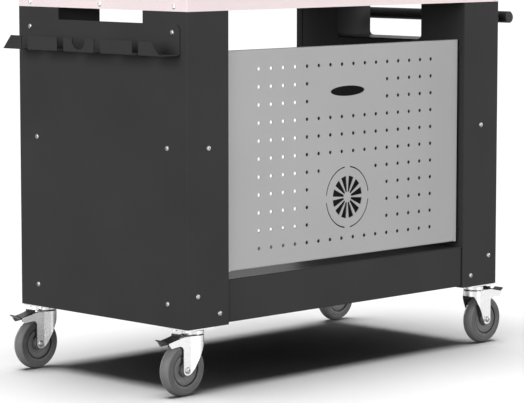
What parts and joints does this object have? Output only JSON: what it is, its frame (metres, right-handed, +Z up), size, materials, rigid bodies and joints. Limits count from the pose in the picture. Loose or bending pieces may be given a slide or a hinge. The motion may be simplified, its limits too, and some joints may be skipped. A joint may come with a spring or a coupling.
{
  "type": "pizza oven table",
  "caption": "Sheet-metal outdoor pizza oven table with a perforated fold-down front, side tool rack, push handle and braked swivel casters.",
  "frame": {"origin": "on the floor, midway between the casters and below the middle of the worktop", "axes": "+X to the right along the front (towards the push handle), +Y to the back, +Z up"},
  "size_m": [1.234, 0.6052, 0.9215],
  "materials": {
    "body_paint": "satin",
    "handle_paint": "satin",
    "top_paint": "satin",
    "flap_steel": "satin",
    "zinc": "bright zinc plate",
    "wheel_plastic": "matte",
    "tyre_rubber": "matte",
    "black_plastic": "matte"
  },
  "bodies": {
    "body": {"left_side_panel": "body_paint", "left_inner_wall": "body_paint", "left_base_tray": "body_paint", "left_column_brace": "body_paint", "left_flap_hinge": "body_paint", "left_flap_catch": "body_paint", "right_side_panel": "body_paint", "right_inner_wall": "body_paint", "right_base_tray": "body_paint", "right_column_brace": "body_paint", "right_flap_hinge": "body_paint", "right_flap_catch": "body_paint", "front_rail": "body_paint", "back_rail": "body_paint", "bottom_shelf": "body_paint", "worktop_frame": "body_paint", "tool_rack": "body_paint", "handle_brackets": "body_paint", "handle_bar": "handle_paint", "handle_end_plugs": "black_plastic", "worktop": "top_paint", "handle_bolts": "zinc", "side_screws": "zinc", "worktop_screws": "zinc", "leg_screws": "zinc", "rack_screws": "zinc", "caster_bolts": "zinc", "front_left_caster_plate": "zinc", "front_left_kingpin": "zinc", "back_left_caster_plate": "zinc", "back_left_kingpin": "zinc", "front_right_caster_plate": "zinc", "front_right_kingpin": "zinc", "back_right_caster_plate": "zinc", "back_right_kingpin": "zinc"},
    "flap": {"front_flap": "flap_steel"},
    "front_left_swivel": {"front_left_ball_race": "zinc", "front_left_fork": "zinc", "front_left_axle_bolt": "zinc"},
    "front_left_wheel": {"front_left_hub": "wheel_plastic", "front_left_tyre": "tyre_rubber"},
    "front_left_pedal": {"front_left_brake_pedal": "black_plastic"},
    "back_left_swivel": {"back_left_ball_race": "zinc", "back_left_fork": "zinc", "back_left_axle_bolt": "zinc"},
    "back_left_wheel": {"back_left_hub": "wheel_plastic", "back_left_tyre": "tyre_rubber"},
    "back_left_pedal": {"back_left_brake_pedal": "black_plastic"},
    "front_right_swivel": {"front_right_ball_race": "zinc", "front_right_fork": "zinc", "front_right_axle_bolt": "zinc"},
    "front_right_wheel": {"front_right_hub": "wheel_plastic", "front_right_tyre": "tyre_rubber"},
    "front_right_pedal": {"front_right_brake_pedal": "black_plastic"},
    "back_right_swivel": {"back_right_ball_race": "zinc", "back_right_fork": "zinc", "back_right_axle_bolt": "zinc"},
    "back_right_wheel": {"back_right_hub": "wheel_plastic", "back_right_tyre": "tyre_rubber"},
    "back_right_pedal": {"back_right_brake_pedal": "black_plastic"}
  },
  "joints": [
    {"name": "flap_hinge", "type": "hinge", "parent": "body", "child": "flap", "pos_m": [0, -0.276, 0.2995], "axis": [1, 0, 0], "range_deg": [0, 90]},
    {"name": "front_left_swivel", "type": "hinge", "parent": "body", "child": "front_left_swivel", "pos_m": [-0.501, -0.263, 0.14], "axis": [0, 0, 1], "continuous": true},
    {"name": "front_left_roll", "type": "hinge", "parent": "front_left_swivel", "child": "front_left_wheel", "pos_m": [-0.536, -0.263, 0.0625], "axis": [0, 1, 0], "continuous": true},
    {"name": "front_left_brake", "type": "hinge", "parent": "front_left_swivel", "child": "front_left_pedal", "pos_m": [-0.566, -0.263, 0.13], "axis": [0, -1, 0], "range_deg": [0, 7]},
    {"name": "back_left_swivel", "type": "hinge", "parent": "body", "child": "back_left_swivel", "pos_m": [-0.501, 0.263, 0.14], "axis": [0, 0, 1], "continuous": true},
    {"name": "back_left_roll", "type": "hinge", "parent": "back_left_swivel", "child": "back_left_wheel", "pos_m": [-0.536, 0.263, 0.0625], "axis": [0, 1, 0], "continuous": true},
    {"name": "back_left_brake", "type": "hinge", "parent": "back_left_swivel", "child": "back_left_pedal", "pos_m": [-0.566, 0.263, 0.13], "axis": [0, -1, 0], "range_deg": [0, 7]},
    {"name": "front_right_swivel", "type": "hinge", "parent": "body", "child": "front_right_swivel", "pos_m": [0.501, -0.263, 0.14], "axis": [0, 0, 1], "continuous": true},
    {"name": "front_right_roll", "type": "hinge", "parent": "front_right_swivel", "child": "front_right_wheel", "pos_m": [0.536, -0.263, 0.0625], "axis": [0, 1, 0], "continuous": true},
    {"name": "front_right_brake", "type": "hinge", "parent": "front_right_swivel", "child": "front_right_pedal", "pos_m": [0.566, -0.263, 0.13], "axis": [0, 1, 0], "range_deg": [0, 7]},
    {"name": "back_right_swivel", "type": "hinge", "parent": "body", "child": "back_right_swivel", "pos_m": [0.501, 0.263, 0.14], "axis": [0, 0, 1], "continuous": true},
    {"name": "back_right_roll", "type": "hinge", "parent": "back_right_swivel", "child": "back_right_wheel", "pos_m": [0.536, 0.263, 0.0625], "axis": [0, 1, 0], "continuous": true},
    {"name": "back_right_brake", "type": "hinge", "parent": "back_right_swivel", "child": "back_right_pedal", "pos_m": [0.566, 0.263, 0.13], "axis": [0, 1, 0], "range_deg": [0, 7]}
  ]
}
